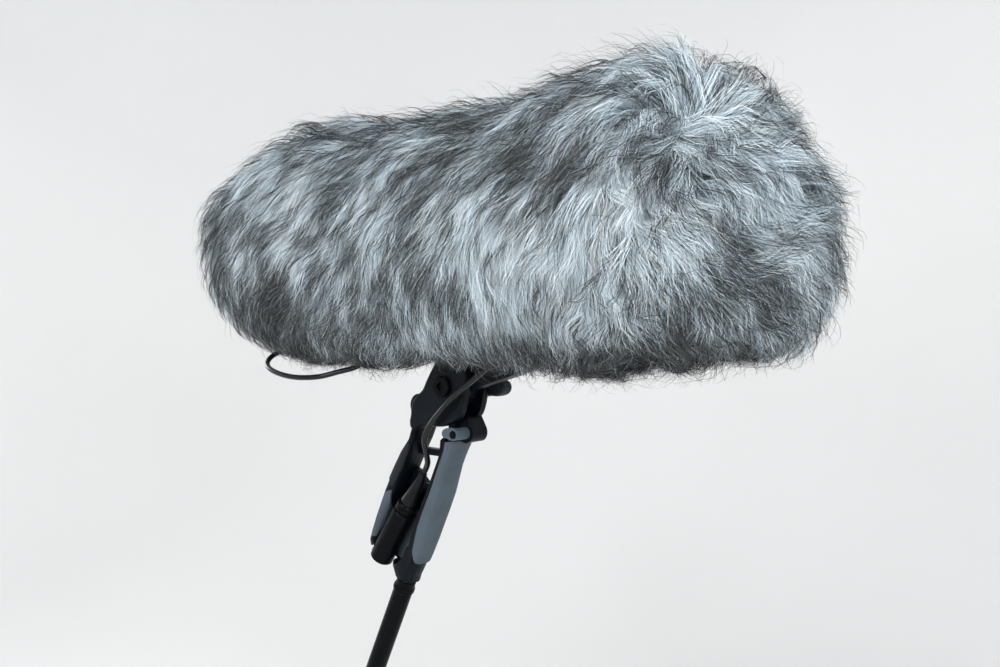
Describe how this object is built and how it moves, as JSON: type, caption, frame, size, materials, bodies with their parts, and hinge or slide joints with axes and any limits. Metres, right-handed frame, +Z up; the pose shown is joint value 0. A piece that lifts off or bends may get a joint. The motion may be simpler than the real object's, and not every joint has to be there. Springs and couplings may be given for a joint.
{
  "type": "furry windscreen",
  "caption": "Long furry cover over a basket windshield with a suspended microphone, tilting on a two-legged pistol-grip handle with a screw-in tube and a cable connector.",
  "frame": {"origin": "middle of the flat lower end of the tube under the handle", "axes": "+X to the front of the windshield, along its axis; +Z up with the windshield level; +Y to the side of the tension lever"},
  "size_m": [0.527, 0.197, 0.4765],
  "materials": {
    "black_plastic": "satin moulded plastic",
    "dark_plastic": "fine matt texture",
    "soft_grey": "soft-touch rubber, matt",
    "charcoal": "soft-touch rubber, matt",
    "blue_grey": "satin moulded plastic",
    "black_metal": "black anodised, satin",
    "bright_metal": "bright plated",
    "brass": "turned brass",
    "black_rubber": "glossy flexible jacket",
    "cream_nylon": "moulded nylon",
    "black_cloth": "woven nylon",
    "red_elastomer": "matt elastomer",
    "grey_fur": "long two-tone pile with dark guard hairs"
  },
  "bodies": {
    "handle": {"handle_frame": "black_plastic", "handle_screw_upper": "black_metal", "handle_screw_middle": "black_metal", "handle_screw_lower": "black_metal", "soft_grip": "soft_grey", "rear_panel": "charcoal", "rear_inlay": "soft_grey", "web_plate": "blue_grey", "pivot_bolt": "black_metal", "friction_washer_near": "bright_metal", "friction_washer_far": "bright_metal", "paddle_pin": "black_metal", "extension_tube": "black_metal", "tube_collar": "black_metal", "thread_stud": "bright_metal", "handle_socket": "brass", "tube_end_plug": "black_metal", "connector_boot": "black_rubber", "connector_nut": "black_metal", "connector_shell": "black_metal", "connector_insert": "black_plastic", "connector_pin_1": "bright_metal", "connector_pin_2": "bright_metal", "connector_pin_3": "bright_metal"},
    "tension_lever": {"tension_lever": "dark_plastic"},
    "lock_paddle": {"lock_paddle": "blue_grey"},
    "windshield": {"fur_cover": "grey_fur", "closure_strip": "black_cloth", "basket_cage": "cream_nylon", "netting_sleeve": "black_cloth", "front_ring": "black_plastic", "rear_ring": "black_plastic", "front_dome": "cream_nylon", "base_shoe": "black_plastic", "suspension_rail": "black_plastic", "shoe_screw_rear": "bright_metal", "shoe_screw_front": "bright_metal", "rear_lyre": "red_elastomer", "front_lyre": "red_elastomer", "cable_grommet": "black_rubber", "inner_cable": "black_rubber", "microphone_cable": "black_rubber"},
    "rear_dome": {"rear_dome": "cream_nylon"},
    "microphone": {"rear_mic_clip": "black_rubber", "front_mic_clip": "black_rubber", "microphone_body": "black_metal", "microphone_tube": "black_metal", "mic_connector": "black_metal", "mic_connector_boot": "black_rubber"}
  },
  "joints": [
    {"name": "tilt", "type": "hinge", "parent": "handle", "child": "windshield", "pos_m": [0.10396, 0, 0.26288], "axis": [0, 1, 0], "range_deg": [-35, 45], "deforming": ["microphone_cable"]},
    {"name": "tension_swing", "type": "hinge", "parent": "handle", "child": "tension_lever", "pos_m": [0.10396, 0, 0.26288], "axis": [0, 1, 0], "range_deg": [0, 85]},
    {"name": "paddle_press", "type": "hinge", "parent": "handle", "child": "lock_paddle", "pos_m": [0.11637, 0, 0.22762], "axis": [0, 1, 0], "range_deg": [-20, 0]},
    {"name": "rear_dome_twist", "type": "hinge", "parent": "windshield", "child": "rear_dome", "pos_m": [-0.04104, 0, 0.37488], "axis": [1, 0, 0], "range_deg": [0, 40]},
    {"name": "microphone_float", "type": "slide", "parent": "windshield", "child": "microphone", "axis": [0, 0, 1], "range_m": [-0.004, 0.004], "stiffness_N_per_m": 900, "deforming": ["front_lyre", "rear_lyre", "inner_cable"]}
  ]
}
